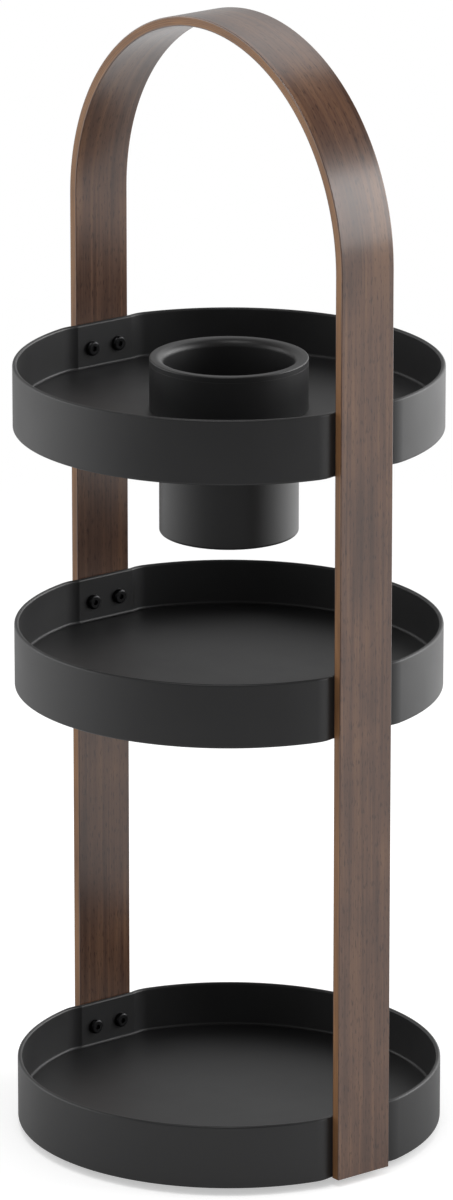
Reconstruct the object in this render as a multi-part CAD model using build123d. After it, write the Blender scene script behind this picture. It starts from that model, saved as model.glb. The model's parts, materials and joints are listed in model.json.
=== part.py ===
from build123d import *
from math import radians, tan
import os

# Revolving vanity organizer: three round trays hung in a bent wood arch, on a ball-bearing base.
# Millimetres, +Z up. The origin is on the turning axis, at table level under the rubber feet.
# The two legs of the arch stand on the X axis.

# ---------------------------------------------------------------- trays
tray_radius = 108.0
tray_height = 33.0
tray_wall = 2.3
tray_floor = 3.0
rim_land = 0.1  # flat left along the top of the rounded rim
tray_edge_radius = 1.2  # lower outer edge
tray_floor_fillet = 1.5
table_gap = 4.0  # bottom tray's lower edge above the table
middle_tray_rise = 231.0  # from the bottom tray's lower edge to the middle tray's
top_tray_rise = 365.5

# ---------------------------------------------------------------- leg recesses in the trays
recess_depth = 3.5
recess_side_gap = 0.5  # beside the leg, at the recess floor
recess_side_angle = 15.0  # lean of the recess sides from the recess floor
recess_corner_radius = 19.0
recess_root_radius = 0.8

# ---------------------------------------------------------------- bent wood arch
strip_width = 32.5
core_thickness = 3.8
veneer_thickness = 0.6
leg_straight = 466.0  # from the leg's foot to where the crown starts
veneer_edge_radius = 0.4

# ---------------------------------------------------------------- leg screws and inserts
leg_screw_radius = 2.0
leg_screw_head_radius = 3.8
leg_screw_head_height = 2.2
leg_screw_socket_radius = 1.5
leg_screw_socket_depth = 1.2
leg_screw_rise = 20.0  # screw axis above the tray's lower edge
leg_screw_inset = 8.0  # screw axis from the leg's edge
leg_insert_wall = 0.9
leg_insert_length = 3.6
insert_well = 0.2  # spare depth past the end of an insert
screw_tip_gap = 0.3  # between a screw's tip and the end of its insert
screw_hole_clearance = 0.2
thread_gap = 0.05  # between a screw thread and the wall it bites into
seat_gap = 0.03  # between a pressed-in piece and its hole

# ---------------------------------------------------------------- brush cup and its collar
cup_tube_radius = 35.0
cup_tube_wall = 2.2
cup_height = 90.5
cup_flange_thickness = 3.0
cup_bottom = 2.5
cup_rim_outer_fillet = 0.7
cup_rim_inner_fillet = 2.2
cup_foot_fillet = 1.5
cup_inside_fillet = 3.0
cup_clearance = 0.4  # between the tube and the collar's bore
collar_height = 23.2  # above the tray's floor
collar_wall = 2.2
collar_foot = 2.0
collar_spigot_wall = 1.8  # part of the collar that stands in the tray's hole
collar_step = 0.4  # from the spigot out to the inside of the collar's wall

# ---------------------------------------------------------------- turntable base and feet
base_radius = 90.0
base_plate = 3.0
base_rim_wall = 2.5
base_rim_rise = 2.0
base_edge_radius = 0.8
hub_radius = 14.0
hub_rise = 2.5  # hub above the base plate
hub_web = 2.6  # wall that the pivot washer bears against
rib_width = 2.0
rib_rise = 1.4
rib_count = 6
rib_end_gap = 0.5  # between a rib and the lower race
foot_stand = 1.5  # foot below the base
foot_radius = 7.0
foot_recess = 1.0
foot_circle = 78.0
foot_count = 6
foot_edge_radius = 0.5

# ---------------------------------------------------------------- ball bearing
ball_radius = 2.0
ball_circle = 64.0
ball_count = 24
race_inner_radius = 48.0
race_outer_radius = 72.0
race_thickness = 1.8
groove_depth = 0.7
race_gap = 0.05  # between a ball and its groove
cage_thickness = 1.0
cage_width = 8.0
cage_gap = 0.1  # between a ball and its pocket
race_screw_circle = 54.0
race_screw_count = 6
race_screw_radius = 1.5
race_screw_head_radius = 2.9
race_screw_head_height = 1.4
race_screw_bite = 2.4  # screw depth beyond the race
race_screw_socket_radius = 1.0
race_screw_socket_depth = 0.9

# ---------------------------------------------------------------- pivot
pivot_shoulder_radius = 4.0
pivot_bush_wall = 1.9
pivot_running_gap = 0.05
pivot_flange_radius = 9.0
pivot_flange_thickness = 0.8
pivot_play = 0.3  # end play of the pivot
pivot_washer_radius = 9.0
pivot_washer_thickness = 0.8
pivot_head_radius = 6.5
pivot_head_height = 2.3
pivot_socket_radius = 2.9
pivot_socket_depth = 1.4
pivot_thread_radius = 2.5
pivot_insert_wall = 1.1
pivot_insert_length = 4.5
pivot_boss_radius = 9.0
pivot_well_clearance = 1.0  # around the washer, in the base's underside

# ---------------------------------------------------------------- worked out from the above
quarter_turn = 90.0
half_turn = 180.0
full_turn = 360.0
halfway = 1 / 2  # along an edge
socket_side_count = 6
rounding_digit_count = 3  # places of a millimetre that tell corners apart
strip_thickness = core_thickness + 2 * veneer_thickness
leg_inner = tray_radius - recess_depth
leg_outer = leg_inner + strip_thickness
crown_spring = table_gap + leg_straight
leg_screw_spacing = strip_width - 2 * leg_screw_inset
leg_insert_radius = leg_screw_radius + leg_insert_wall
rim_radius = (tray_wall - rim_land) / 2

base_bottom = foot_stand
base_top = base_bottom + base_plate
ball_center = base_top + race_thickness - groove_depth + race_gap + ball_radius
lower_race_top = base_top + race_thickness
upper_race_top = 2 * ball_center - base_top
upper_race_bottom = upper_race_top - race_thickness
floor_lift = upper_race_top - table_gap  # tray floor's underside above the tray's lower edge
floor_top = floor_lift + tray_floor

hub_top = base_top + hub_rise
web_bottom = hub_top - hub_web
washer_top = web_bottom - pivot_play
pivot_head_top = washer_top - pivot_washer_thickness
pivot_boss_bottom = hub_top + pivot_flange_thickness + pivot_play
pivot_bush_radius = pivot_shoulder_radius + pivot_running_gap + pivot_bush_wall
pivot_insert_radius = pivot_thread_radius + pivot_insert_wall

collar_bore_radius = cup_tube_radius + cup_clearance
spigot_radius = collar_bore_radius + collar_spigot_wall
collar_inner_radius = spigot_radius + collar_step
collar_radius = collar_inner_radius + collar_wall
middle_tray_edge = table_gap + middle_tray_rise
top_tray_edge = table_gap + top_tray_rise
collar_seat = top_tray_edge + floor_top
cup_seat = collar_seat + collar_height
cup_rim = cup_seat + cup_flange_thickness
cup_foot = cup_rim - cup_height


# ---------------------------------------------------------------- shared shapes
def disc(radius, bottom, top):
    # Upright cylinder between two heights.
    return Pos(0, 0, bottom) * Cylinder(
        radius, top - bottom, align=(Align.CENTER, Align.CENTER, Align.MIN))


def ring(outer_radius, inner_radius, bottom, top):
    # Upright tube between two heights.
    return disc(outer_radius, bottom, top) - disc(inner_radius, bottom, top)


def around(shape, radius, count, start=0.0):
    # Copies of a shape, evenly spaced on a circle about the turning axis.
    places = PolarLocations(radius, count, start)
    return [place * shape for place in places]


def group(shapes):
    # Separate solids that are kept together.
    return Compound([solid for shape in shapes for solid in shape.solids()])


def cut_all(shape, tools):
    # The shape with each tool taken out.
    for tool in tools:
        shape = shape - tool
    return shape


def socket(radius, depth):
    # Hexagonal drive recess, open at the top at z = 0.
    return Pos(0, 0, -depth) * extrude(RegularPolygon(radius, socket_side_count), depth)


def on_both_legs(shape):
    # A shape at the +X leg and its copy at the -X leg.
    return [shape, Rot(0, 0, half_turn) * shape]


def across_leg(shape):
    # A shape that points along +Z, turned to point at the axis, at both screw places of a leg.
    turned = Rot(0, -quarter_turn, 0) * shape
    return [Pos(0, side * leg_screw_spacing / 2, leg_screw_rise) * turned for side in (-1, 1)]


# ---------------------------------------------------------------- trays
def recess_notch(inset):
    # Flared recess for one leg, grown by an inset, reaching out past the tray's edge.
    lean = radians(recess_side_angle)
    floor = leg_inner - inset
    reach = tray_radius + recess_depth
    root = strip_width / 2 + recess_side_gap + inset * tan(lean / 2)
    mouth = root + (reach - floor) / tan(lean)
    corners = [(floor, -root), (reach, -mouth), (reach, mouth), (floor, root)]
    return make_face(Polyline(*corners, close=True))


def tray_outline(inset):
    # The tray's edge seen from above, drawn in by an inset: a circle with a recess for each leg.
    outline = Circle(tray_radius - inset)
    for notch in on_both_legs(recess_notch(inset)):
        outline = outline - notch
    roots = outline.vertices().group_by(side_distance)[0]
    outline = fillet(roots, recess_root_radius + inset)
    shoulders = outline.vertices().group_by(axis_distance)[-1]
    return fillet(shoulders, recess_corner_radius - inset)


def side_distance(corner):
    # A corner's distance from the plane midway between the legs.
    return round(abs(corner.X), rounding_digit_count)


def axis_distance(corner):
    # A corner's distance from the turning axis.
    return round(Vector(corner.X, corner.Y).length, rounding_digit_count)


def tray_shell():
    # One tray on its own lower edge at z = 0, with its floor raised inside it.
    outline = tray_outline(0.0)
    hollow = tray_outline(tray_wall)
    shell = extrude(outline, tray_height)
    shell = shell - Pos(0, 0, floor_top) * extrude(hollow, tray_height - floor_top)
    shell = shell - extrude(hollow, floor_lift)
    inside_floor = shell.faces().filter_by_position(Axis.Z, floor_top, floor_top)
    shell = fillet(inside_floor.edges(), tray_floor_fillet)
    shell = fillet(shell.faces().sort_by(Axis.Z)[-1].edges(), rim_radius)
    lower_edge = shell.faces().sort_by(Axis.Z)[0].outer_wire()
    shell = fillet(lower_edge.edges(), tray_edge_radius)
    return cut_all(shell, leg_screw_holes())


def leg_screw_holes():
    # Clearance holes through the wall behind both legs.
    radius = leg_screw_radius + screw_hole_clearance
    drill = disc(radius, 0, 2 * tray_wall)
    holes = [Pos(leg_inner, 0, 0) * item for item in across_leg(drill)]
    return [copy for item in holes for copy in on_both_legs(item)]


def bottom_tray(shell):
    # Carries the upper race and the pivot under its floor.
    boss_bottom = pivot_boss_bottom - table_gap
    well_top = boss_bottom + pivot_insert_length + insert_well
    tray = shell + disc(pivot_boss_radius, boss_bottom, floor_lift)
    tray = tray - disc(pivot_insert_radius + seat_gap, boss_bottom, well_top)
    pilot = disc(race_screw_radius + thread_gap, floor_lift, floor_lift + race_screw_bite)
    tray = cut_all(tray, around(pilot, race_screw_circle, race_screw_count, upper_screw_start()))
    return Pos(0, 0, table_gap) * tray


def middle_tray(shell):
    return Pos(0, 0, middle_tray_edge) * shell


def top_tray(shell):
    # Has a hole for the collar that carries the cup.
    tray = shell - disc(spigot_radius + seat_gap, floor_lift, floor_top)
    return Pos(0, 0, top_tray_edge) * tray


# ---------------------------------------------------------------- bent wood arch
def arch_outline(reach):
    # Legs and half-round crown at one distance from the arch's centre line.
    springs = [(-reach, crown_spring), (reach, crown_spring)]
    legs = Polyline(springs[0], (-reach, table_gap), (reach, table_gap), springs[1])
    crown = ThreePointArc(springs[1], (0, crown_spring + reach), springs[0])
    return make_face(Plane.XZ * (legs + crown))


def arch_layer(inner, outer):
    # One layer of the arch, as wide as the strip.
    band = arch_outline(outer) - arch_outline(inner)
    return extrude(band, strip_width / 2, both=True)


def insert_holes():
    # Blind holes in the legs' inner faces, for the threaded inserts of every tray.
    depth = leg_insert_length + insert_well
    drill = disc(leg_insert_radius + seat_gap, -depth, 0)
    holes = [Pos(leg_inner, 0, edge) * item for edge in tray_edges() for item in across_leg(drill)]
    return [copy for item in holes for copy in on_both_legs(item)]


def tray_edges():
    # Heights of the three trays' lower edges.
    return [table_gap, middle_tray_edge, top_tray_edge]


def arch_core():
    layer = arch_layer(leg_inner + veneer_thickness, leg_outer - veneer_thickness)
    return cut_all(layer, insert_holes())


def arch_inner_veneer():
    layer = arch_layer(leg_inner, leg_inner + veneer_thickness)
    return cut_all(layer, insert_holes())


def arch_outer_veneer():
    # The long outer edges are eased.
    layer = arch_layer(leg_outer - veneer_thickness, leg_outer)
    eased = [edge for edge in layer.edges() if is_outer_edge(edge)]
    return fillet(eased, veneer_edge_radius)


def is_outer_edge(edge):
    # True for the long edges on the outer face of the arch.
    middle = edge @ halfway
    on_side = abs(abs(middle.Y) - strip_width / 2) < veneer_edge_radius
    rise = max(middle.Z - crown_spring, 0.0)
    reach = Vector(middle.X, rise).length
    return on_side and reach > leg_outer - veneer_thickness / 2


# ---------------------------------------------------------------- fasteners
def leg_screw():
    # Pan-head screw: underside of the head at z = 0, thread below.
    length = tray_wall + leg_insert_length - screw_tip_gap
    head = disc(leg_screw_head_radius, 0, leg_screw_head_height)
    head = fillet(head.edges().sort_by(Axis.Z)[-1], leg_screw_head_height / 2)
    head = head - Pos(0, 0, leg_screw_head_height) * socket(
        leg_screw_socket_radius, leg_screw_socket_depth)
    return head + disc(leg_screw_radius - thread_gap, -length, 0)


def leg_screws(edge):
    # The four screws that hold one tray, heads inside the tray.
    place = Pos(leg_inner - tray_wall, 0, edge)
    screws = [place * item for item in across_leg(leg_screw())]
    return group([copy for item in screws for copy in on_both_legs(item)])


def leg_inserts(edge):
    # The four threaded inserts in the legs behind one tray.
    sleeve = ring(leg_insert_radius, leg_screw_radius, -leg_insert_length, 0)
    inserts = [Pos(leg_inner, 0, edge) * item for item in across_leg(sleeve)]
    return group([copy for item in inserts for copy in on_both_legs(item)])


def race_screw():
    # Countersunk screw: top of the head at z = 0, thread below.
    length = race_thickness + race_screw_bite - screw_tip_gap
    head = Pos(0, 0, -race_screw_head_height) * Cone(
        race_screw_radius - thread_gap, race_screw_head_radius, race_screw_head_height,
        align=(Align.CENTER, Align.CENTER, Align.MIN))
    screw = head + disc(race_screw_radius - thread_gap, -length, 0)
    return screw - socket(race_screw_socket_radius, race_screw_socket_depth)


def race_screw_hole():
    # Countersunk hole for a race screw: mouth at z = 0.
    clearance = race_screw_radius + thread_gap
    mouth = race_screw_head_radius + thread_gap
    cone = Pos(0, 0, -race_screw_head_height - thread_gap) * Cone(
        clearance, mouth, race_screw_head_height + thread_gap,
        align=(Align.CENTER, Align.CENTER, Align.MIN))
    return cone + disc(clearance, -race_thickness, 0)


def upper_screw_start():
    # The upper race's screws stand midway between the lower ones.
    return full_turn / race_screw_count / 2


# ---------------------------------------------------------------- brush cup and its collar
def cup_collar():
    # Ring on the top tray's floor, with a spigot that stands in the tray's hole.
    foot_top = collar_seat + collar_foot
    spigot = ring(spigot_radius, collar_bore_radius, collar_seat - tray_floor, foot_top)
    foot = ring(collar_radius, collar_bore_radius, collar_seat, foot_top)
    wall = ring(collar_radius, collar_inner_radius, collar_seat, cup_seat)
    return spigot + foot + wall


def brush_cup():
    # A tube that hangs through the collar by the flange round its rim.
    cup = disc(cup_tube_radius, cup_foot, cup_rim)
    cup = fillet(cup.edges().sort_by(Axis.Z)[0], cup_foot_fillet)
    cup = cup + disc(collar_radius, cup_seat, cup_rim)
    hollow = disc(cup_tube_radius - cup_tube_wall, cup_foot + cup_bottom, cup_rim)
    hollow = fillet(hollow.edges().sort_by(Axis.Z)[0], cup_inside_fillet)
    cup = cup - hollow
    rim = cup.faces().sort_by(Axis.Z)[-1]
    cup = fillet(rim.outer_wire().edges(), cup_rim_outer_fillet)
    rim = cup.faces().sort_by(Axis.Z)[-1]
    return fillet(rim.inner_wires()[0].edges(), cup_rim_inner_fillet)


# ---------------------------------------------------------------- turntable base and feet
def turntable_base():
    # Stationary disc with a stiffening rim, ribs and a hub for the pivot.
    base = disc(base_radius, base_bottom, base_top + base_rim_rise)
    base = fillet(base.edges(), base_edge_radius)
    base = base - disc(base_radius - base_rim_wall, base_top, base_top + base_rim_rise)
    base = base + disc(hub_radius, base_bottom, hub_top)
    for rib in base_ribs():
        base = base + rib
    base = base - disc(pivot_bush_radius + seat_gap, base_bottom, hub_top)
    base = base - disc(pivot_washer_radius + pivot_well_clearance, base_bottom, web_bottom)
    foot_hole = disc(foot_radius, base_bottom, base_bottom + foot_recess)
    base = cut_all(base, around(foot_hole, foot_circle, foot_count))
    pilot = disc(race_screw_radius + thread_gap, base_top - race_screw_bite, base_top)
    return cut_all(base, around(pilot, race_screw_circle, race_screw_count))


def base_ribs():
    # Low radial ribs, rooted in the hub, that stop short of the lower race.
    start = hub_radius - rib_width
    length = race_inner_radius - rib_end_gap - start
    rib = Pos(0, 0, base_top) * Box(
        length, rib_width, rib_rise, align=(Align.CENTER, Align.CENTER, Align.MIN))
    return around(rib, start + length / 2, rib_count)


def rubber_feet():
    foot = disc(foot_radius, 0, foot_stand + foot_recess)
    foot = fillet(foot.edges().sort_by(Axis.Z)[0], foot_edge_radius)
    return group(around(foot, foot_circle, foot_count))


# ---------------------------------------------------------------- ball bearing
def race(bottom, screw_plane, start):
    # Steel ring with a ball groove and countersunk screw holes.
    plate = ring(race_outer_radius, race_inner_radius, bottom, bottom + race_thickness)
    groove = Pos(0, 0, ball_center) * Torus(ball_circle, ball_radius + race_gap)
    holes = around(screw_plane * race_screw_hole(), race_screw_circle, race_screw_count, start)
    return cut_all(plate - groove, holes)


def lower_screw_plane():
    # Screw heads up, flush with the lower race's top.
    return Pos(0, 0, lower_race_top)


def upper_screw_plane():
    # Screw heads down, flush with the upper race's underside.
    return Pos(0, 0, upper_race_bottom) * Rot(half_turn, 0, 0)


def race_screws(screw_plane, start):
    screw = screw_plane * race_screw()
    return group(around(screw, race_screw_circle, race_screw_count, start))


def ball_cage():
    # Flat ring with a pocket for each ball.
    half_width = cage_width / 2
    bottom = ball_center - cage_thickness / 2
    top = ball_center + cage_thickness / 2
    plate = ring(ball_circle + half_width, ball_circle - half_width, bottom, top)
    pocket = disc(ball_radius + cage_gap, bottom, top)
    return cut_all(plate, around(pocket, ball_circle, ball_count))


def bearing_balls():
    ball = Pos(0, 0, ball_center) * Sphere(ball_radius)
    return group(around(ball, ball_circle, ball_count))


# ---------------------------------------------------------------- pivot
def pivot_bush():
    # Flanged sleeve pressed into the hub.
    bore = pivot_shoulder_radius + pivot_running_gap
    sleeve = ring(pivot_bush_radius, bore, web_bottom, hub_top)
    flange = ring(pivot_flange_radius, bore, hub_top, hub_top + pivot_flange_thickness)
    return sleeve + flange


def pivot_washer():
    bore = pivot_shoulder_radius + pivot_running_gap
    return ring(pivot_washer_radius, bore, pivot_head_top, washer_top)


def pivot_screw():
    # Shoulder screw, head underneath, thread up in the bottom tray's boss.
    head_bottom = pivot_head_top - pivot_head_height
    tip = pivot_boss_bottom + pivot_insert_length - screw_tip_gap
    head = disc(pivot_head_radius, head_bottom, pivot_head_top)
    drive = Rot(half_turn, 0, 0) * socket(pivot_socket_radius, pivot_socket_depth)
    shoulder = disc(pivot_shoulder_radius, pivot_head_top, pivot_boss_bottom)
    thread = disc(pivot_thread_radius - thread_gap, pivot_boss_bottom, tip)
    return head - Pos(0, 0, head_bottom) * drive + shoulder + thread


def pivot_insert():
    top = pivot_boss_bottom + pivot_insert_length
    return ring(pivot_insert_radius, pivot_thread_radius, pivot_boss_bottom, top)


# ---------------------------------------------------------------- every piece
def build_pieces():
    # Every piece of the organizer by name.
    shell = tray_shell()
    return {
        "turntable_base": turntable_base(),
        "rubber_feet": rubber_feet(),
        "lower_race": race(base_top, lower_screw_plane(), 0.0),
        "lower_race_screws": race_screws(lower_screw_plane(), 0.0),
        "pivot_bush": pivot_bush(),
        "ball_cage": ball_cage(),
        "bearing_balls": bearing_balls(),
        "upper_race": race(upper_race_bottom, upper_screw_plane(), upper_screw_start()),
        "upper_race_screws": race_screws(upper_screw_plane(), upper_screw_start()),
        "pivot_screw": pivot_screw(),
        "pivot_washer": pivot_washer(),
        "pivot_insert": pivot_insert(),
        "bottom_tray": bottom_tray(shell),
        "middle_tray": middle_tray(shell),
        "top_tray": top_tray(shell),
        "arch_core": arch_core(),
        "arch_inner_veneer": arch_inner_veneer(),
        "arch_outer_veneer": arch_outer_veneer(),
        "bottom_tray_screws": leg_screws(table_gap),
        "middle_tray_screws": leg_screws(middle_tray_edge),
        "top_tray_screws": leg_screws(top_tray_edge),
        "bottom_leg_inserts": leg_inserts(table_gap),
        "middle_leg_inserts": leg_inserts(middle_tray_edge),
        "top_leg_inserts": leg_inserts(top_tray_edge),
        "cup_collar": cup_collar(),
        "brush_cup": brush_cup(),
    }


os.makedirs("parts", exist_ok=True)
for name, piece in build_pieces().items():
    export_step(piece, f"parts/{name}.step")
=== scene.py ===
"""Revolving vanity organizer: three moulded trays in a bent walnut arch, on a hidden ball bearing.

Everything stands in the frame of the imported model: +Z up, the turning axis through the origin,
the table at z = 0 and the arch's legs on the X axis. Sizes are named in millimetres, and MM
turns them to metres.
"""

import json
import logging
import math
from collections.abc import Callable, Mapping, Sequence
from dataclasses import dataclass, field
from enum import Enum

import bmesh
import bpy
from bpy.types import Material, Node, NodeSocket, NodeTree, Object
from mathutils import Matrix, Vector


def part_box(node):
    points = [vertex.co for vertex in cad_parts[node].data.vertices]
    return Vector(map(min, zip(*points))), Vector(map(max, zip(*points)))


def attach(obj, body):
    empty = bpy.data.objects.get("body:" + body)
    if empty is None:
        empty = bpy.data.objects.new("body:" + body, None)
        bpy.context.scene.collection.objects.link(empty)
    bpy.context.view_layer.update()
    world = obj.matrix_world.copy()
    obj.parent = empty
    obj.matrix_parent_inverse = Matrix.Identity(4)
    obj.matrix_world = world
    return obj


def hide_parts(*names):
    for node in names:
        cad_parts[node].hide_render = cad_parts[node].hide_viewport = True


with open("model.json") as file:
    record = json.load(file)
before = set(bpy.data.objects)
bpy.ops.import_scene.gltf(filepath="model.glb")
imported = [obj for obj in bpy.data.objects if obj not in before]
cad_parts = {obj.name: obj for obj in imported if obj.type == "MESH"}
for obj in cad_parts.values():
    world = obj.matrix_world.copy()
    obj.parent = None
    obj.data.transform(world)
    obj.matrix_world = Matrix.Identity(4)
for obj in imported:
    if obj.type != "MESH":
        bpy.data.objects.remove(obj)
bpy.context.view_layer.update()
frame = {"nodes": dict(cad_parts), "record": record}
SLOTS = {part["node"]: part["material_slot"] for part in frame["record"]["subparts"]}

LOG = logging.getLogger("organizer")
MM = 0.001
CLOSE = MM / 20  # how near a point has to be to count as on a face or a line
MERGE = MM / 1000  # corners nearer than this become one
QUAD = 4  # corners of every face but the round ones
IMAGE_HEIGHT = 1200  # pixels, the image's long side
SENSOR = 36.0  # mm along the image's long side
SMOOTH_ANGLE = math.radians(35.0)  # a sharper corner stays crisp
WIDEST_EASE = 4.0  # mm, the roundest edge on any piece, which has a bevel weight of 1
EASE_STEPS = 6
ROUND_SIDES = 128  # of a round hole or boss
EASE_LAYER = "bevel_weight_edge"
GRAIN_MAP = "grain"
WHITE = "ffffff"
# A noise seldom leaves this range, so a finish changes all the way from one end to the other.
NOISE_LOW, NOISE_HIGH = 0.3, 0.7
# Sockets of a Mix node, which gives all its pairs the same two names.
SHARE = 0
FIRST, SECOND = 2, 3  # numbers
UNDER, OVER = 6, 7  # colours
MIXED_COLOUR = 2

Tones = tuple[tuple[float, str], ...]  # place in a pattern, from 0 to 1, and sRGB hex colour
Stops = Sequence[tuple[float, Sequence[float]]]  # position and linear colour


# ---------------------------------------- shader helpers
def linear(code: str) -> tuple[float, float, float, float]:
    """Turn an sRGB hex colour into the linear colour that a shader takes.

    Args:
        code: Six hex digits, such as "3a2f28".

    Returns:
        Linear red, green and blue, and an alpha of 1.
    """
    channels = [int(code[start:start + 2], 16) / 255 for start in (0, 2, 4)]
    # The curve of the sRGB standard.
    red, green, blue = (
        c / 12.92 if c <= 0.04045 else ((c + 0.055) / 1.055) ** 2.4 for c in channels
    )
    return (red, green, blue, 1.0)


def painted(tones: Tones) -> Stops:
    """Turn the tones of a pattern into the stops of a colour ramp."""
    return [(place, linear(code)) for place, code in tones]


def add_node(
    tree: NodeTree,
    kind: str,
    inputs: Mapping[str | int, object] | None = None,
    stops: Stops = (),
    **settings: object,
) -> Node:
    """Add a shader node with its settings, values and links.

    Args:
        tree: The node tree that gets the node.
        kind: The node's type, without "ShaderNode".
        inputs: Socket name or number to a value, or to the output socket that feeds it.
        stops: The stops, where the node is a colour ramp.
        **settings: Properties of the node itself.

    Returns:
        The new node.
    """
    node = tree.nodes.new("ShaderNode" + kind)
    for key, value in settings.items():
        setattr(node, key, value)
    for key, value in (inputs or {}).items():
        if isinstance(value, NodeSocket):
            tree.links.new(value, node.inputs[key])
        else:
            node.inputs[key].default_value = value
    for number, (position, colour) in enumerate(stops):
        elements = node.color_ramp.elements
        # A new ramp already has two stops.
        element = elements[number] if number < 2 else elements.new(1.0)
        element.color = colour
        element.position = position
    return node


# ---------------------------------------- finishes
@dataclass(frozen=True, kw_only=True)
class Finish:
    """What all finishes share. Pattern sizes and depths are in mm."""

    name: str
    roughness: tuple[float, float]  # at the smoothest and at the dullest spots
    depth: float  # of the fine relief

    def build(self) -> Material:
        """Build the material.

        Returns:
            The material.
        """
        material = bpy.data.materials.new(self.name)
        material.use_nodes = True
        tree = material.node_tree
        tree.nodes.clear()
        add_node(tree, "OutputMaterial", {"Surface": self.surface(tree)})
        return material

    def surface(self, tree: NodeTree) -> NodeSocket:
        """Build the shader.

        Args:
            tree: The material's node tree.

        Returns:
            The shader's output.
        """
        raise NotImplementedError

    def worked(
        self,
        tree: NodeTree,
        colour: NodeSocket,
        drift: NodeSocket,
        relief: NodeSocket,
        more: Mapping[str, float],
    ) -> NodeSocket:
        """Bring a colour, a drifting roughness and a fine relief together in one shader.

        Args:
            tree: The material's node tree.
            colour: The colour.
            drift: The pattern that the roughness follows.
            relief: The pattern that stands up from the surface.
            more: What else the shader is given, by the name of its socket.

        Returns:
            The shader's output.
        """
        smoothest, dullest = self.roughness
        sheen = add_node(tree, "MapRange", {
            "Value": drift, "From Min": NOISE_LOW, "From Max": NOISE_HIGH,
            "To Min": smoothest, "To Max": dullest})
        bump = add_node(tree, "Bump", {"Height": relief, "Distance": self.depth * MM})
        shader = add_node(tree, "BsdfPrincipled", {
            "Base Color": colour, "Roughness": sheen.outputs["Result"],
            "Normal": bump.outputs["Normal"], **more})
        return shader.outputs["BSDF"]

    def grained(self, tree: NodeTree, size: float, detail: float) -> NodeSocket:
        """Draw an even noise in the piece's own coordinates.

        Args:
            tree: The material's node tree.
            size: Size of the pattern, in mm.
            detail: Octaves of the noise.

        Returns:
            The noise, from 0 to 1.
        """
        place = add_node(tree, "TexCoord").outputs["Object"]
        noise = add_node(tree, "TexNoise", {
            "Vector": place, "Scale": 1 / (size * MM), "Detail": detail})
        return noise.outputs["Fac"]

    def streaked(
        self, tree: NodeTree, size: tuple[float, float], detail: float, wander: float
    ) -> NodeSocket:
        """Draw a noise that is stretched along the strip's own map.

        Args:
            tree: The material's node tree.
            size: Size of the streaks across and along the strip, in mm.
            detail: Octaves of the noise.
            wander: How far the streaks stray from straight.

        Returns:
            The noise, from 0 to 1.
        """
        across, along = size
        place = add_node(tree, "UVMap", uv_map=GRAIN_MAP).outputs["UV"]
        scaled = add_node(tree, "Mapping", {
            "Vector": place, "Scale": (1 / (across * MM), 1 / (along * MM), 1.0)})
        noise = add_node(tree, "TexNoise", {
            "Vector": scaled.outputs["Vector"], "Scale": 1.0, "Detail": detail,
            "Distortion": wander})
        return noise.outputs["Fac"]


@dataclass(frozen=True, kw_only=True)
class MouldedAbs(Finish):
    """ABS, injection moulded in a finely spark-eroded tool."""

    # To the eye: near-black with a satin sheen that brightens towards the silhouettes.
    name: str = "moulded_abs"
    tones: Tones = ((0.35, "161617"), (0.65, "1b1b1c"))
    cloud: float = 45.0  # slow drift of the tone and the sheen along a wall
    texture: float = 0.7  # the real 0.1 mm texture is too fine to show
    roughness: tuple[float, float] = (0.42, 0.5)
    depth: float = 0.006
    ior: float = 1.53

    def surface(self, tree: NodeTree) -> NodeSocket:
        """Build the shader.

        Args:
            tree: The material's node tree.

        Returns:
            The shader's output.
        """
        cloud = self.grained(tree, self.cloud, detail=3.0)
        texture = self.grained(tree, self.texture, detail=2.0)
        colour = add_node(tree, "ValToRGB", {"Fac": cloud}, stops=painted(self.tones))
        return self.worked(tree, colour.outputs["Color"], cloud, texture, {"IOR": self.ior})


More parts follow.
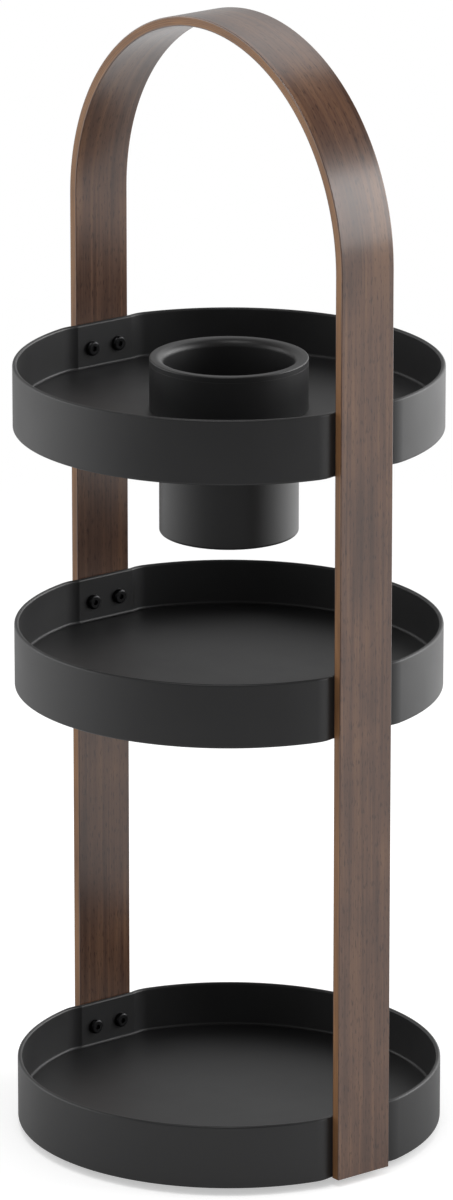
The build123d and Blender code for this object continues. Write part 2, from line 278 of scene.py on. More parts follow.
@dataclass(frozen=True, kw_only=True)
class WalnutVeneer(Finish):
    """American walnut, sliced as a face veneer and sprayed with satin lacquer."""

    # To the eye: dark chocolate brown with fine straight grain and short pores, greyed by a
    # soft sheen. The patterns' sizes are across and along the strip.
    name: str = "walnut_veneer"
    tones: Tones = ((0.38, "422b1f"), (0.5, "563b2c"), (0.62, "6d4e38"))
    pore_tones: Tones = ((0.3, "bab1a9"), (0.42, WHITE))
    band: tuple[float, float] = (3.4, 220.0)
    fibre: tuple[float, float] = (1.1, 90.0)  # the real 0.3 mm fibre is too fine to show
    patch: tuple[float, float] = (26.0, 60.0)
    pore: tuple[float, float] = (0.8, 5.0)  # the real 0.2 mm pore is too fine to show
    fibre_share: float = 0.32
    patch_share: float = 0.38
    roughness: tuple[float, float] = (0.29, 0.39)
    depth: float = 0.02
    ior: float = 1.5
    specular: float = 0.35  # low, because the lacquer fills the wood's surface
    lacquer_roughness: float = 0.22

    def surface(self, tree: NodeTree) -> NodeSocket:
        """Build the shader, which follows the piece's own map along the strip.

        Args:
            tree: The material's node tree.

        Returns:
            The shader's output.
        """
        band = self.streaked(tree, self.band, detail=3.0, wander=0.7)
        fibre = self.streaked(tree, self.fibre, detail=3.0, wander=0.3)
        patch = self.streaked(tree, self.patch, detail=2.0, wander=0.3)
        pore = self.streaked(tree, self.pore, detail=1.0, wander=0.0)
        banded = add_node(tree, "Mix", {SHARE: self.fibre_share, FIRST: band, SECOND: fibre})
        figure = add_node(tree, "Mix", {
            SHARE: self.patch_share, FIRST: banded.outputs[0], SECOND: patch})
        wood = add_node(tree, "ValToRGB", {"Fac": figure.outputs[0]}, stops=painted(self.tones))
        pores = add_node(tree, "ValToRGB", {"Fac": pore}, stops=painted(self.pore_tones))
        colour = add_node(tree, "Mix", {
            SHARE: 1.0, UNDER: wood.outputs["Color"], OVER: pores.outputs["Color"]},
            data_type="RGBA", blend_type="MULTIPLY")
        return self.worked(tree, colour.outputs[MIXED_COLOUR], fibre, fibre, {
            "IOR": self.ior, "Specular IOR Level": self.specular,
            "Coat Weight": 1.0, "Coat Roughness": self.lacquer_roughness})


@dataclass(frozen=True, kw_only=True)
class PlyEdge(Finish):
    """Birch and beech plies, bent and glued, with the edge sanded and lacquered."""

    # To the eye: a golden brown stripe with thin redder and paler lines along it. The patterns'
    # sizes are through the edge and along it.
    name: str = "ply_edge"
    tones: Tones = ((0.36, "6b4a2e"), (0.62, "926b46"))
    # Each ply is clear in its middle, and glue darkens it at both sides.
    ply_tones: Tones = ((0.0, "b0846c"), (0.14, WHITE), (0.86, WHITE), (1.0, "b0846c"))
    ply: float = 0.95
    fibre: tuple[float, float] = (0.6, 25.0)  # the real 0.2 mm fibre is too fine to show
    patch: tuple[float, float] = (8.0, 60.0)
    patch_share: float = 0.5
    roughness: tuple[float, float] = (0.44, 0.56)
    depth: float = 0.02
    ior: float = 1.5
    specular: float = 0.42  # low, because sanded end grain drinks up the lacquer

    def surface(self, tree: NodeTree) -> NodeSocket:
        """Build the shader, which follows the piece's own map along the strip.

        Args:
            tree: The material's node tree.

        Returns:
            The shader's output.
        """
        fibre = self.streaked(tree, self.fibre, detail=3.0, wander=0.4)
        patch = self.streaked(tree, self.patch, detail=2.0, wander=0.3)
        figure = add_node(tree, "Mix", {SHARE: self.patch_share, FIRST: fibre, SECOND: patch})
        wood = add_node(tree, "ValToRGB", {"Fac": figure.outputs[0]}, stops=painted(self.tones))
        place = add_node(tree, "UVMap", uv_map=GRAIN_MAP).outputs["UV"]
        across = add_node(tree, "SeparateXYZ", {"Vector": place}).outputs["X"]
        count = add_node(tree, "Math", {0: across, 1: 1 / (self.ply * MM)}, operation="MULTIPLY")
        within = add_node(tree, "Math", {0: count.outputs[0]}, operation="FRACT")
        plies = add_node(
            tree, "ValToRGB", {"Fac": within.outputs[0]}, stops=painted(self.ply_tones))
        colour = add_node(tree, "Mix", {
            SHARE: 1.0, UNDER: wood.outputs["Color"], OVER: plies.outputs["Color"]},
            data_type="RGBA", blend_type="MULTIPLY")
        return self.worked(tree, colour.outputs[MIXED_COLOUR], fibre, fibre, {
            "IOR": self.ior, "Specular IOR Level": self.specular})


@dataclass(frozen=True, kw_only=True)
class EvenFinish(Finish):
    """A metal, rubber or plastic whose surface is even, with a fine texture."""

    tones: tuple[str, str]  # its two colours, which lie close together
    texture: float  # coarser than the real one, which is too fine to show
    metallic: float = 0.0
    depth: float = 0.004

    def surface(self, tree: NodeTree) -> NodeSocket:
        """Build the shader.

        Args:
            tree: The material's node tree.

        Returns:
            The shader's output.
        """
        texture = self.grained(tree, self.texture, detail=3.0)
        first, second = self.tones
        colour = add_node(tree, "ValToRGB", {"Fac": texture}, stops=painted(
            ((NOISE_LOW, first), (NOISE_HIGH, second))))
        return self.worked(
            tree, colour.outputs["Color"], texture, texture, {"Metallic": self.metallic})


class Hardware(Enum):
    """Finishes of the base, the bearing and the fasteners, by the record's slot."""

    # Moulded with a coarser tool than the trays: duller and a little paler.
    base_abs = EvenFinish(
        name="moulded_base_abs", tones=("1f1f20", "252526"), roughness=(0.484, 0.616),
        texture=0.8)
    # Thermoplastic rubber: dead matt black.
    rubber = EvenFinish(
        name="moulded_rubber", tones=("151515", "1c1c1c"), roughness=(0.704, 0.896),
        texture=0.6, depth=0.01)
    # Bright zinc on pressed steel: pale blue-grey with a soft shine.
    zinc_steel = EvenFinish(
        name="zinc_plated_steel", tones=("b4b7ba", "c6c9cb"), roughness=(0.264, 0.336),
        texture=1.5, metallic=1.0)
    # Ground and polished steel: mirror-like.
    ball_steel = EvenFinish(
        name="polished_ball_steel", tones=("c9cacc", "d0d1d3"), roughness=(0.0704, 0.0896),
        texture=0.5, metallic=1.0, depth=0.0)
    # Black oxide on steel: oily black with small bright glints.
    black_steel = EvenFinish(
        name="black_oxide_steel", tones=("2c2c2d", "39393a"), roughness=(0.2992, 0.3808),
        texture=0.6, metallic=1.0)
    # Turned brass: warm yellow.
    brass = EvenFinish(
        name="turned_brass", tones=("b8924f", "c9a561"), roughness=(0.22, 0.28),
        texture=0.5, metallic=1.0)
    # Acetal: milky white and slippery smooth.
    acetal = EvenFinish(
        name="moulded_acetal", tones=("dcdbd4", "e4e3dc"), roughness=(0.308, 0.392),
        texture=0.8)
    # Nylon: off-white and slightly dull.
    nylon = EvenFinish(
        name="moulded_nylon", tones=("c9c7bd", "d3d1c8"), roughness=(0.396, 0.504),
        texture=0.8)


# ---------------------------------------- modelling
def ease_layer(shape: bmesh.types.BMesh) -> bmesh.types.BMLayerItem:
    """Reach the layer that says how round each edge of a mesh becomes."""
    layers = shape.edges.layers.float
    return layers.get(EASE_LAYER) or layers.new(EASE_LAYER)


class Workpiece:
    """A piece on the bench: a blank face that is extruded, widened and inset to its shape."""

    def __init__(self, name: str, radius: float, sides: int, height: float) -> None:
        """Lay down a round blank.

        Args:
            name: The piece's name.
            radius: The blank's radius, in mm.
            sides: Number of its sides.
            height: Its height, in mm.
        """
        bpy.ops.object.select_all(action="DESELECT")
        bpy.ops.mesh.primitive_circle_add(vertices=sides, radius=radius * MM, fill_type="NGON")
        self.object: Object = bpy.context.object
        self.object.name = name
        self.object.data.name = name
        self.radius = radius
        self.height = height
        bpy.ops.object.mode_set(mode="EDIT")
        bpy.ops.mesh.select_mode(type="FACE")
        bpy.ops.transform.translate(value=(0.0, 0.0, height * MM))

    def mesh(self) -> bmesh.types.BMesh:
        """Reach the mesh that is being edited."""
        return bmesh.from_edit_mesh(self.object.data)

    def round_edges(self, ease: float) -> None:
        """Say how round the working face's edges become.

        Args:
            ease: Their radius, in mm; 0 keeps them sharp.
        """
        shape = self.mesh()
        layer = ease_layer(shape)
        for face in shape.faces:
            if face.select:
                for edge in face.edges:
                    edge[layer] = ease / WIDEST_EASE
        bmesh.update_edit_mesh(self.object.data)

    def move_to(self, height: float, ease: float = 0.0) -> None:
        """Extrude the working face up or down.

        Args:
            height: Its new height, in mm.
            ease: Radius of its edges, in mm.
        """
        travel = (0.0, 0.0, (height - self.height) * MM)
        bpy.ops.mesh.extrude_region_move(TRANSFORM_OT_translate={"value": travel})
        self.height = height
        self.round_edges(ease)

    def widen_to(self, radius: float, ease: float = 0.0) -> None:
        """Extrude the round working face outwards in its own plane.

        Args:
            radius: Its new radius, in mm.
            ease: Radius of its edges, in mm.
        """
        scale = radius / self.radius
        bpy.ops.mesh.extrude_region_move(TRANSFORM_OT_translate={"value": (0.0, 0.0, 0.0)})
        bpy.ops.transform.resize(
            value=(scale, scale, 1.0), center_override=(0.0, 0.0, self.height * MM))
        self.radius = radius
        self.round_edges(ease)

    def inset_by(self, width: float, ease: float = 0.0) -> None:
        """Inset the working face.

        Args:
            width: How far, in mm.
            ease: Radius of its edges, in mm.
        """
        bpy.ops.mesh.inset(thickness=width * MM, depth=0.0)
        self.radius -= width
        self.round_edges(ease)

    def take_face(self, height: float, radius: float) -> None:
        """Make the one round face of a height and a radius the working face.

        Args:
            height: The face's height, in mm.
            radius: Its widest reach from the turning axis, in mm.
        """
        self.select_faces(lambda face: self.fills(face, height, radius))
        self.height = height
        self.radius = radius

    def fills(self, face: bmesh.types.BMFace, height: float, radius: float) -> bool:
        """Say if a face is the round one of a height and a radius.

        Args:
            face: The face.
            height: The height at which all of it has to lie, in mm.
            radius: The widest reach that it has to have, in mm.

        Returns:
            True if it is.
        """
        reach = max(vertex.co.xy.length for vertex in face.verts)
        level = all(abs(vertex.co.z - height * MM) < CLOSE for vertex in face.verts)
        return level and len(face.verts) > QUAD and abs(reach - radius * MM) < CLOSE

    def select_faces(self, test: Callable[[bmesh.types.BMFace], bool]) -> None:
        """Select the faces that pass a test, and nothing else.

        Args:
            test: Says of a face if it is wanted.
        """
        bpy.ops.mesh.select_all(action="DESELECT")
        shape = self.mesh()
        for face in shape.faces:
            face.select_set(test(face))
        bmesh.update_edit_mesh(self.object.data)

    def open_through(self, first: float, second: float, radius: float) -> None:
        """Join two round faces by a hole from one to the other.

        Args:
            first: Height of one face, in mm.
            second: Height of the other, in mm.
            radius: Radius of both, in mm.
        """
        self.select_faces(lambda face: self.fills(face, first, radius)
                          or self.fills(face, second, radius))
        bpy.ops.mesh.bridge_edge_loops()

    def finish(self) -> Object:
        """Turn the faces outwards and round the marked edges.

        Returns:
            The shaped object, at the origin.
        """
        bpy.ops.mesh.select_all(action="SELECT")
        bpy.ops.mesh.remove_doubles(threshold=MERGE)
        bpy.ops.mesh.normals_make_consistent(inside=False)
        bpy.ops.object.mode_set(mode="OBJECT")
        round_marked_edges(self.object)
        return self.object


def select_only(piece: Object) -> None:
    """Make a piece the selected and active one.

    Args:
        piece: The piece.
    """
    bpy.ops.object.select_all(action="DESELECT")
    piece.select_set(True)
    bpy.context.view_layer.objects.active = piece


def round_marked_edges(piece: Object) -> None:
    """Round the edges of a piece that have a bevel weight.

    Args:
        piece: The piece.
    """
    select_only(piece)
    rounding = piece.modifiers.new("Rounded edges", "BEVEL")
    rounding.limit_method = "WEIGHT"
    rounding.width = WIDEST_EASE * MM
    rounding.segments = EASE_STEPS
    rounding.use_clamp_overlap = False
    bpy.ops.object.modifier_apply(modifier=rounding.name)


def smooth(piece: Object) -> None:
    """Shade a piece smooth, with its flat faces kept flat and its corners sharp.

    Args:
        piece: The piece.
    """
    select_only(piece)
    bpy.ops.object.shade_smooth_by_angle(angle=SMOOTH_ANGLE)
    weights = piece.modifiers.new("Flat faces", "WEIGHTED_NORMAL")
    weights.keep_sharp = True
    bpy.ops.object.modifier_apply(modifier=weights.name)
    piece.select_set(False)


class Change(Enum):
    """What a round tool does to a piece."""

    JOIN = "UNION"
    CUT = "DIFFERENCE"


def work_round(piece: Object, change: Change, radius: float, low: float, high: float) -> None:
    """Join an upright cylinder on the turning axis to a piece, or cut it away.

    Args:
        piece: The piece that changes.
        change: Which of the two is done.
        radius: The cylinder's radius, in mm.
        low: Height of its lower end, in mm.
        high: Height of its upper end, in mm.
    """
    bpy.ops.object.select_all(action="DESELECT")
    bpy.ops.mesh.primitive_cylinder_add(
        vertices=ROUND_SIDES, radius=radius * MM, depth=(high - low) * MM,
        location=(0.0, 0.0, (high + low) / 2 * MM))
    tool = bpy.context.object
    select_only(piece)
    work = piece.modifiers.new("Round", "BOOLEAN")
    work.operation = change.value
    work.object = tool
    bpy.ops.object.modifier_apply(modifier=work.name)
    discard(tool)


def copy_raised(piece: Object, name: str, height: float) -> Object:
    """Copy a piece, with a mesh of its own, and raise it.

    Args:
        piece: The piece that is copied.
        name: The copy's name.
        height: How far it is raised, in mm.

    Returns:
        The copy, at the origin.
    """
    select_only(piece)
    bpy.ops.object.duplicate(linked=False)
    made = bpy.context.object
    made.name = name
    made.data.name = name
    bpy.ops.transform.translate(value=(0.0, 0.0, height * MM))
    bpy.ops.object.transform_apply(location=True, rotation=False, scale=False)
    return made


def discard(piece: Object) -> None:
    """Take away a piece that has done its work."""
    select_only(piece)
    bpy.ops.object.delete()


def dress(piece: Object, material: Material, body: str, node: str) -> None:
    """Smooth a piece, give it its finish and its body, and hide the CAD node it stands for.

    Args:
        piece: The new piece.
        material: Its material.
        body: The CAD body it moves with.
        node: The CAD node it replaces, which is hidden.
    """
    piece.data.materials.clear()
    piece.data.materials.append(material)
    smooth(piece)
    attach(piece, body)
    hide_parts(node)
    LOG.info("%s: %d faces", piece.name, len(piece.data.polygons))


# ---------------------------------------- trays
class TrayKind(Enum):
    """The three trays, by the name of their CAD node."""

    BOTTOM = "bottom_tray"
    MIDDLE = "middle_tray"
    TOP = "top_tray"


@dataclass
class Trays:
    """Three round trays out of one mould, with a flared recess for each leg. Sizes are in mm."""

    radius: float = 108.0
    wall: float = 2.3
    rim_ease: float = 1.1
    floor_lift: float = 6.8
    floor: float = 3.0
    floor_ease: float = 1.5
    lower_ease: float = 1.2
    recess_face: float = 104.5  # recess floor from the turning axis
    recess_half: float = 16.75
    recess_lean: float = 15.0  # degrees by which its sides flare
    shoulder: float = 19.0  # radius between a side and the rim
    root: float = 0.8  # radius between a side and the recess floor
    recess_steps: int = 4
    root_steps: int = 4
    shoulder_steps: int = 14
    rim_steps: int = 60
    cup_hole: float = 37.23
    boss: float = 9.0
    boss_bore: float = 3.63
    boss_drop: float = 2.7  # below the floor
    boss_bore_depth: float = 4.7
    boss_root: float = 1.0  # how far it reaches into the floor
    overcut: float = 3.0  # how far a cutter reaches past what it cuts

    def outline(self) -> list[Vector]:
        """Draw the tray's edge: a circle with a recess for each leg.

        Returns:
            The points all the way round, anticlockwise from the middle of the +X recess, in mm.
        """
        quarter = self.quarter()
        left = [Vector((-p.x, p.y)) for p in reversed(quarter[:-1])]
        half = quarter + left
        return half + [Vector((p.x, -p.y)) for p in reversed(half[1:-1])]

    def quarter(self) -> list[Vector]:
        """Draw a quarter of the edge, from the middle of the +X recess round to +Y.

        Returns:
            The points, in mm.
        """
        lean = math.radians(self.recess_lean)
        side = Vector((math.sin(lean), math.cos(lean)))  # along the recess's side
        inward = Vector((-math.cos(lean), math.sin(lean)))  # from it into the tray
        foot = Vector((self.recess_face, self.recess_half))
        root = foot + Vector((self.root, -self.root * math.tan(lean / 2)))
        # The shoulder's middle slides along the side until its arc touches the rim.
        start = foot + inward * self.shoulder
        along = start.dot(side)
        reach = self.radius - self.shoulder
        slide = math.sqrt(along ** 2 - start.length_squared + reach ** 2) - along
        shoulder = start + side * slide
        out = math.atan2(shoulder.y, shoulder.x)
        flat = [Vector((self.recess_face, root.y * n / self.recess_steps))
                for n in range(self.recess_steps)]
        inner = [root - heading(-turn) * self.root for turn in steps(0.0, lean, self.root_steps)]
        outer = [shoulder + heading(turn) * self.shoulder
                 for turn in steps(-lean, out, self.shoulder_steps)]
        rim = [heading(turn) * self.radius
               for turn in steps(out, math.pi / 2, self.rim_steps)[1:]]
        return flat + inner + outer + rim

    def build(self, material: Material) -> None:
        """Model the shell once, and make each tray from a copy of it.

        Args:
            material: The trays' finish.
        """
        shell = self.model_shell()
        for kind in TrayKind:
            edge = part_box(kind.value)[1].z / MM - self.depth()
            piece = copy_raised(shell, kind.value + "_moulding", edge)
            if kind is TrayKind.TOP:
                self.cut_cup_hole(piece, edge)
            if kind is TrayKind.BOTTOM:
                self.add_pivot_boss(piece, edge)
            dress(piece, material, "organizer", kind.value)
        discard(shell)

    def depth(self) -> float:
        """Say how deep a tray is, as the middle tray's node is."""
        low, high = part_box(TrayKind.MIDDLE.value)
        return (high.z - low.z) / MM

    def model_shell(self) -> Object:
        """Model a tray that stands on the table.

        Returns:
            The shell, with its lower edge at z = 0.
        """
        outline = self.outline()
        piece = Workpiece("tray_shell", self.radius, len(outline), 0.0)
        place_points(piece, outline)
        piece.round_edges(self.lower_ease)
        piece.move_to(self.depth(), self.rim_ease)
        piece.inset_by(self.wall, self.rim_ease)
        piece.move_to(self.floor_lift + self.floor, self.floor_ease)
        piece.take_face(0.0, self.radius)
        piece.inset_by(self.wall)
        piece.move_to(self.floor_lift)
        return piece.finish()

    def cut_cup_hole(self, piece: Object, edge: float) -> None:
        """Cut the hole for the cup's collar.

        Args:
            piece: The top tray.
            edge: Height of its lower edge, in mm.
        """
        under = edge + self.floor_lift
        work_round(piece, Change.CUT, self.cup_hole, under - self.overcut,
                   under + self.floor + self.overcut)

    def add_pivot_boss(self, piece: Object, edge: float) -> None:
        """Add the boss under the floor that takes the pivot's insert.

        Args:
            piece: The bottom tray.
            edge: Height of its lower edge, in mm.
        """
        under = edge + self.floor_lift
        end = under - self.boss_drop
        work_round(piece, Change.JOIN, self.boss, end, under + self.boss_root)
        work_round(piece, Change.CUT, self.boss_bore, end - self.overcut,
                   end + self.boss_bore_depth)


def heading(turn: float) -> Vector:
    """Point along an angle from +X, in radians."""
    return Vector((math.cos(turn), math.sin(turn)))


def steps(start: float, end: float, count: int) -> list[float]:
    """Divide a stretch into equal steps, both ends included."""
    return [start + (end - start) * n / count for n in range(count + 1)]


def place_points(piece: Workpiece, outline: Sequence[Vector]) -> None:
    """Spread a round blank's points onto an outline.

    Args:
        piece: The blank.
        outline: The outline's points, in mm.
    """
    shape = piece.mesh()
    shape.verts.ensure_lookup_table()
    for vertex, point in zip(shape.verts, outline):
        vertex.co = Vector((point.x, point.y, piece.height)) * MM
    bmesh.update_edit_mesh(piece.object.data)


# ---------------------------------------- arch
@dataclass(frozen=True)
class Layer:
    """One layer of the arch, and where it lies from the arch's centre line, in mm."""

    node: str  # its CAD node
    inner: float
    outer: float
    eased: float | None  # where the face with eased long edges lies, if it has one


@dataclass
class BentArch:
    """The bent strip: walnut faces on both sides of a ply core. Sizes are in mm."""

    core: float = 3.8
    veneer: float = 0.6
    ease: float = 0.4
    crown_steps: int = 96
    edge_lean: float = 45.0  # degrees from the strip's side at which its edge begins
    # These are read from the frame.
    reach: float = field(init=False)  # outer face of a leg from the turning axis
    width: float = field(init=False)
    foot: float = field(init=False)  # height of the legs' feet
    spring: float = field(init=False)  # height at which the crown springs from the legs
    straight: float = field(init=False)  # length of a leg

    def __post_init__(self) -> None:
        """Read the strip's reach, width and heights from the frame."""
        low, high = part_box("arch_outer_veneer")
        self.reach = high.x / MM
        self.width = (high.y - low.y) / MM
        self.foot = low.z / MM
        self.spring = high.z / MM - self.reach
        self.straight = self.spring - self.foot

    def layers(self) -> list[Layer]:
        """List the layers.

        Returns:
            The layers, from the inside out.
        """
        inside = self.reach - self.core - 2 * self.veneer
        outside = self.reach - self.veneer
        return [
            Layer("arch_inner_veneer", inside, inside + self.veneer, inside),
            Layer("arch_core", inside + self.veneer, outside, None),
            Layer("arch_outer_veneer", outside, self.reach, self.reach),
        ]

    def build(self, faces: Material, edges: Material) -> None:
        """Model the three layers and give them their finishes.

        Args:
            faces: Finish of the walnut faces.
            edges: Finish of the core's edges.
        """
        for layer in self.layers():
            piece = self.bend(layer)
            self.map_grain(piece)
            dress(piece, edges if layer.node == "arch_core" else faces, "organizer", layer.node)

    def bend(self, layer: Layer) -> Object:
        """Draw a layer's section up one leg, round the crown and down the other leg.

        Args:
            layer: The layer.

        Returns:
            The bent layer.
        """
        bpy.ops.object.select_all(action="DESELECT")
        bpy.ops.mesh.primitive_plane_add(size=MM)
        piece = bpy.context.object
        piece.name = layer.node.replace("arch", "bentwood")
        piece.data.name = piece.name
        bpy.ops.object.mode_set(mode="EDIT")
        bpy.ops.mesh.select_mode(type="FACE")
        bpy.ops.transform.resize(value=(layer.outer - layer.inner, self.width, 1.0),
                                 center_override=(0.0, 0.0, 0.0))
        middle = (layer.outer + layer.inner) / 2
        bpy.ops.transform.translate(value=(middle * MM, 0.0, self.foot * MM))
        up = (0.0, 0.0, self.straight * MM)
        down = (0.0, 0.0, -self.straight * MM)
        bpy.ops.mesh.extrude_region_move(TRANSFORM_OT_translate={"value": up})
        bpy.ops.mesh.spin(steps=self.crown_steps, angle=math.pi,
                          center=(0.0, 0.0, self.spring * MM), axis=(0.0, 1.0, 0.0))
        bpy.ops.mesh.extrude_region_move(TRANSFORM_OT_translate={"value": down})
        bpy.ops.mesh.select_all(action="SELECT")
        bpy.ops.mesh.remove_doubles(threshold=MERGE)
        bpy.ops.mesh.normals_make_consistent(inside=False)
        if layer.eased is not None:
            self.ease_edges(piece, layer.eased)
        bpy.ops.object.mode_set(mode="OBJECT")
        round_marked_edges(piece)
        return piece

    def ease_edges(self, piece: Object, face: float) -> None:
        """Mark the long edges of one face of a layer to be eased.

        Args:
            piece: The layer, in edit mode.
            face: The face's distance from the arch's centre line, in mm.
        """
        shape = bmesh.from_edit_mesh(piece.data)
        layer = ease_layer(shape)
        for edge in shape.edges:
            first, second = (vertex.co for vertex in edge.verts)
            on_face = all(abs(self.distance(p) - face * MM) < CLOSE for p in (first, second))
            if on_face and abs(first.y - second.y) < CLOSE:
                edge[layer] = self.ease / WIDEST_EASE
        bmesh.update_edit_mesh(piece.data)

    def distance(self, point: Vector) -> float:
        """Measure a point's distance from the arch's centre line, in metres."""
        return Vector((point.x, max(point.z - self.spring * MM, 0.0))).length

    def along(self, point: Vector) -> float:
        """Measure how far along the outer face a point lies.

        Args:
            point: The point.

        Returns:
            Its distance from the +X foot, in metres.
        """
        straight = self.straight * MM
        crown = math.pi * self.reach * MM
        rise = point.z - self.spring * MM
        if rise > 0.0:
            return straight + math.atan2(rise, point.x) * self.reach * MM
        return straight + rise if point.x > 0.0 else straight + crown - rise

    def map_grain(self, piece: Object) -> None:
        """Write a map in metres: across the strip or through its edge, and along the strip.

        Args:
            piece: The layer.
        """
        mesh = piece.data
        grain = mesh.uv_layers.new(name=GRAIN_MAP)
        inner = self.reach - self.core - self.veneer
        for face in mesh.polygons:
            on_edge = abs(face.normal.y) > math.cos(math.radians(self.edge_lean))
            for loop in face.loop_indices:
                point = mesh.vertices[mesh.loops[loop].vertex_index].co
                across = self.distance(point) - inner * MM if on_edge else point.y
                grain.data[loop].uv = (across, self.along(point))


# ---------------------------------------- brush cup
@dataclass
class BrushCup:
    """The lift-out cup and the collar that it hangs in. Sizes are in mm."""

    tube: float = 35.0
    wall: float = 2.2
    flange: float = 3.0
    bottom: float = 2.5
    foot_ease: float = 1.5
    inside_ease: float = 3.0
    rim_outer_ease: float = 0.7
    rim_inner_ease: float = 4.0
    bore: float = 35.4
    spigot: float = 37.2
    collar_inside: float = 37.6
    collar_foot: float = 2.0
    tray_floor: float = 3.0
    ease: float = 0.12
    sides: int = 176

    def build(self, material: Material) -> None:
        """Model the cup and its collar.

        Args:
            material: The finish of both.
        """
        dress(self.model_cup(), material, "cup", "brush_cup")
        dress(self.model_collar(), material, "organizer", "cup_collar")

    def model_cup(self) -> Object:
        """Model the cup from its foot up, out to its flange and down inside.

        Returns:
            The cup.
        """
        low, high = (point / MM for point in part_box("brush_cup"))
        piece = Workpiece("brush_cup_moulding", self.tube, self.sides, low.z)
        piece.round_edges(self.foot_ease)
        piece.move_to(high.z - self.flange)
        piece.widen_to(high.x, self.ease)
        piece.move_to(high.z, self.rim_outer_ease)
        piece.inset_by(high.x - self.tube + self.wall, self.rim_inner_ease)
        piece.move_to(low.z + self.bottom, self.inside_ease)
        return piece.finish()

    def model_collar(self) -> Object:
        """Model the collar from its spigot up, and bore it through.

        Returns:
            The collar.
        """
        low, high = (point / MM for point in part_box("cup_collar"))
        floor = low.z + self.tray_floor
        foot = floor + self.collar_foot
        piece = Workpiece("cup_collar_moulding", self.spigot, self.sides, low.z)
        piece.move_to(floor)
        piece.widen_to(high.x, self.ease)
        piece.move_to(high.z, self.ease)
        piece.inset_by(high.x - self.collar_inside, self.ease)
        piece.move_to(foot)
        piece.inset_by(self.collar_inside - self.bore)
        piece.take_face(low.z, self.spigot)
        piece.inset_by(self.spigot - self.bore)
        piece.open_through(foot, low.z, self.bore)
        return piece.finish()


# ---------------------------------------- hardware
class CarriedHardware:
    """Base, feet, bearing, pivot and fasteners, which keep the shapes of their CAD nodes."""

    def dress_all(self) -> None:
        """Give each of these nodes the finish of its slot."""
        finishes = {kind.name: kind.value.build() for kind in Hardware}
        for node, slot in SLOTS.items():
            if slot in finishes:
                piece = frame["nodes"][node]
                piece.data.materials.clear()
                piece.data.materials.append(finishes[slot])
                LOG.info("%s: finished as %s", node, finishes[slot].name)


# ---------------------------------------- studio
@dataclass(frozen=True)
class Softbox:
    """A soft rectangular lamp that faces the object. Lengths are in metres."""

    name: str
    azimuth: float  # degrees round from the camera, to the right
    elevation: float  # degrees
    distance: float  # from the middle of the object
    width: float
    height: float
    radiance: float  # 1 is as bright as a white wall in plain light

    def watts(self) -> float:
        """Work out the lamp's power from its radiance."""
        return self.radiance * math.pi * self.width * self.height


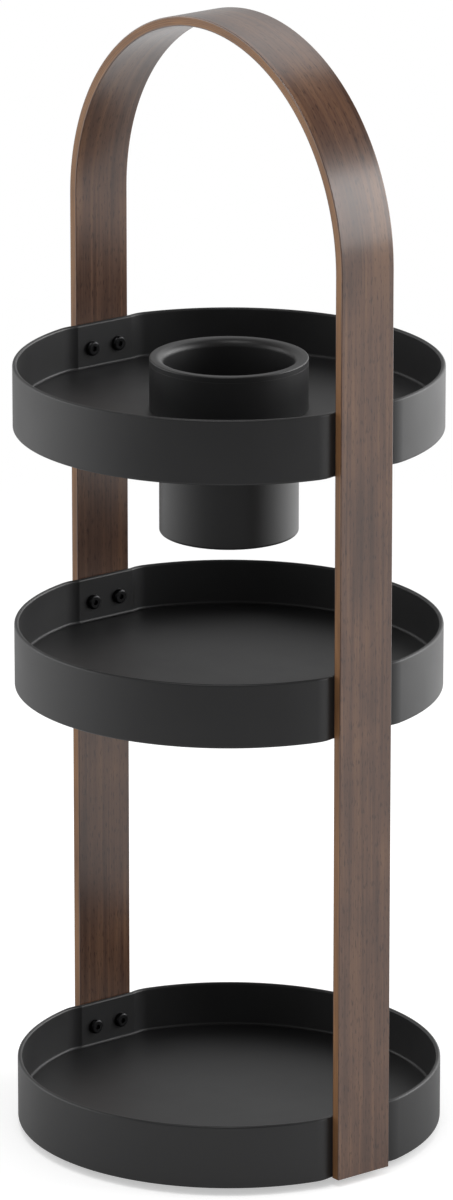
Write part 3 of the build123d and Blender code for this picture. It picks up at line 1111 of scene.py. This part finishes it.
@dataclass
class Studio:
    """Pale floor, white backdrop, soft lamps and the camera. Sizes are in metres."""

    azimuth: float = 51.9  # degrees round from -Y towards +X
    distance: float = 3.86
    height: float = 1.453
    pitch: float = 16.92
    focal: float = 8029.0  # in pixels of the image
    axis_offset: float = 2.5  # pixels by which the turning axis lies right of the middle
    middle: float = 0.3  # height of the object's middle
    floor_solid: float = 0.45  # radius within which the floor is all there
    floor_gone: float = 1.235  # radius past which nothing of it is left
    floor_radius: float = 1.3
    floor_sides: int = 96
    floor_colour: str = "dfdfdf"
    floor_lift: float = 0.46  # what brings the floor up to white before the camera
    fill: float = 0.62  # even light from all round
    # What gloss shows of the studio's walls: degrees round from the camera to the right, and
    # brightness. The camera's side is dark, and the right side is the brightest.
    walls: tuple[tuple[float, float], ...] = (
        (-180.0, 0.45), (-160.0, 0.6), (-122.0, 1.2), (-98.0, 1.15), (-70.0, 0.9),
        (-45.0, 0.35), (0.0, 0.22), (36.0, 0.22), (50.0, 0.5), (68.0, 0.6), (80.0, 0.8),
        (87.0, 1.9), (105.0, 2.6), (130.0, 2.6), (150.0, 1.5), (166.0, 1.2), (180.0, 0.45))
    walls_peak: float = 2.6
    # The walls fade into a dark ceiling between two rises, given by their sines.
    walls_end: tuple[float, float] = (0.38, 0.62)
    # The backdrop reaches higher, and fades between two turns from its middle, given by cosines.
    backdrop_rise: float = 20.0  # degrees
    backdrop_end: tuple[float, float] = (0.62, 0.8)
    # Each has its turn, rise, distance, width, height and radiance.
    lamps: tuple[Softbox, ...] = (
        Softbox("right_softbox", 100.0, 19.0, 1.8, 1.9, 1.0, 3.5),
        Softbox("left_softbox", -100.0, 14.0, 1.9, 1.5, 1.3, 1.5),
        Softbox("overhead_softbox", -20.0, 72.0, 1.8, 0.8, 0.8, 4.5),
    )

    def build(self) -> None:
        """Set up the whole studio."""
        self.add_camera()
        self.lay_floor()
        self.light_world()
        for lamp in self.lamps:
            self.hang(lamp)
        bpy.context.scene.view_settings.view_transform = "Standard"

    def towards(self, azimuth: float, elevation: float) -> Vector:
        """Point from the object.

        Args:
            azimuth: Degrees round from the camera, to the right.
            elevation: Degrees above the table.

        Returns:
            A direction of length 1.
        """
        turn = math.radians(self.azimuth + azimuth)
        rise = math.radians(elevation)
        return Vector((math.sin(turn) * math.cos(rise), -math.cos(turn) * math.cos(rise),
                       math.sin(rise)))

    def add_camera(self) -> None:
        """Set the camera at the photograph's viewing angle."""
        data = bpy.data.cameras.new("camera")
        data.sensor_width = SENSOR
        data.lens = self.focal * SENSOR / IMAGE_HEIGHT
        data.shift_x = -self.axis_offset / IMAGE_HEIGHT
        camera = bpy.data.objects.new("camera", data)
        camera.location = self.towards(0.0, 0.0) * self.distance
        camera.location.z = self.height
        camera.rotation_euler = (math.radians(90.0 - self.pitch), 0.0, math.radians(self.azimuth))
        bpy.context.scene.collection.objects.link(camera)
        bpy.context.scene.camera = camera

    def lay_floor(self) -> None:
        """Lay a pale floor that fades into the white backdrop and keeps the shadow."""
        bpy.ops.object.select_all(action="DESELECT")
        bpy.ops.mesh.primitive_circle_add(
            vertices=self.floor_sides, radius=self.floor_radius, fill_type="NGON")
        floor = bpy.context.object
        floor.name = "floor"
        material = bpy.data.materials.new("pale_floor")
        material.use_nodes = True
        tree = material.node_tree
        tree.nodes.clear()
        place = add_node(tree, "TexCoord").outputs["Object"]
        reach = add_node(tree, "VectorMath", {0: place}, operation="LENGTH").outputs["Value"]
        fade = add_node(tree, "MapRange", {
            "Value": reach, "From Min": self.floor_solid, "From Max": self.floor_gone},
            interpolation_type="SMOOTHSTEP").outputs["Result"]
        seen = add_node(tree, "LightPath").outputs["Is Camera Ray"]
        lift = add_node(tree, "Math", {0: seen, 1: self.floor_lift}, operation="MULTIPLY")
        paint = add_node(tree, "BsdfDiffuse", {"Color": linear(self.floor_colour)})
        glow = add_node(tree, "Emission", {"Strength": lift.outputs[0]})
        solid = add_node(tree, "AddShader", {0: paint.outputs[0], 1: glow.outputs[0]})
        clear = add_node(tree, "BsdfTransparent")
        shader = add_node(tree, "MixShader", {0: fade, 1: solid.outputs[0], 2: clear.outputs[0]})
        add_node(tree, "OutputMaterial", {"Surface": shader.outputs[0]})
        floor.data.materials.append(material)

    def hang(self, lamp: Softbox) -> None:
        """Hang a lamp.

        Args:
            lamp: The lamp.
        """
        data = bpy.data.lights.new(lamp.name, "AREA")
        data.shape = "RECTANGLE"
        data.size = lamp.width
        data.size_y = lamp.height
        data.energy = lamp.watts()
        made = bpy.data.objects.new(lamp.name, data)
        away = self.towards(lamp.azimuth, lamp.elevation)
        made.location = Vector((0.0, 0.0, self.middle)) + away * lamp.distance
        made.rotation_euler = (-away).to_track_quat("-Z", "Y").to_euler()
        bpy.context.scene.collection.objects.link(made)

    def light_world(self) -> None:
        """Light the object evenly, white before the camera and with walls for gloss."""
        world = bpy.data.worlds.new("studio")
        bpy.context.scene.world = world
        world.use_nodes = True
        tree = world.node_tree
        tree.nodes.clear()
        rays = add_node(tree, "LightPath").outputs
        shiny = add_node(tree, "Math", {
            0: rays["Is Glossy Ray"], 1: rays["Is Transmission Ray"]}, operation="MAXIMUM")
        unseen = add_node(tree, "Mix", {
            SHARE: shiny.outputs[0], FIRST: self.fill, SECOND: self.gloss(tree)})
        strength = add_node(tree, "Mix", {
            SHARE: rays["Is Camera Ray"], FIRST: unseen.outputs[0], SECOND: 1.0})
        shader = add_node(tree, "Background", {
            "Color": linear(WHITE), "Strength": strength.outputs[0]})
        add_node(tree, "OutputWorld", {"Surface": shader.outputs[0]})

    def gloss(self, tree: NodeTree) -> NodeSocket:
        """Draw what gloss shows of the studio: its walls and backdrop, under a dark ceiling.

        Args:
            tree: The world's node tree.

        Returns:
            The brightness in each direction.
        """
        looking = add_node(tree, "TexCoord").outputs["Generated"]
        turned = add_node(tree, "VectorRotate", {
            "Vector": looking, "Angle": -math.radians(self.azimuth)}, rotation_type="Z_AXIS")
        parts = add_node(tree, "SeparateXYZ", {"Vector": turned.outputs[0]}).outputs
        front = add_node(tree, "Math", {0: parts["Y"], 1: -1.0}, operation="MULTIPLY")
        turn = add_node(tree, "Math", {0: parts["X"], 1: front.outputs[0]}, operation="ARCTAN2")
        share = add_node(tree, "MapRange", {
            "Value": turn.outputs[0], "From Min": -math.pi, "From Max": math.pi})
        walls = add_node(tree, "ValToRGB", {"Fac": share.outputs[0]}, stops=[
            ((azimuth + 180.0) / 360.0, [level / self.walls_peak] * 3 + [1.0])
            for azimuth, level in self.walls])
        fading, gone = self.walls_end
        low = add_node(tree, "MapRange", {
            "Value": parts["Z"], "From Min": fading, "From Max": gone, "To Min": 1.0,
            "To Max": 0.0}, interpolation_type="SMOOTHSTEP")
        back = add_node(tree, "VectorMath", {
            0: looking, 1: self.towards(180.0, self.backdrop_rise)}, operation="DOT_PRODUCT")
        edge, full = self.backdrop_end
        backdrop = add_node(tree, "MapRange", {
            "Value": back.outputs["Value"], "From Min": edge, "From Max": full},
            interpolation_type="SMOOTHSTEP")
        lit = add_node(tree, "Math", {
            0: low.outputs[0], 1: backdrop.outputs[0]}, operation="MAXIMUM")
        scaled = add_node(tree, "Math", {
            0: lit.outputs[0], 1: self.walls_peak}, operation="MULTIPLY")
        return add_node(tree, "Math", {
            0: walls.outputs[0], 1: scaled.outputs[0]}, operation="MULTIPLY").outputs[0]


def main() -> None:
    """Build and dress every piece, then set up the studio."""
    logging.basicConfig(level=logging.INFO, format="%(message)s")
    moulded = MouldedAbs().build()
    Trays().build(moulded)
    BentArch().build(WalnutVeneer().build(), PlyEdge().build())
    BrushCup().build(moulded)
    CarriedHardware().dress_all()
    Studio().build()


if __name__ == "__main__":
    main()
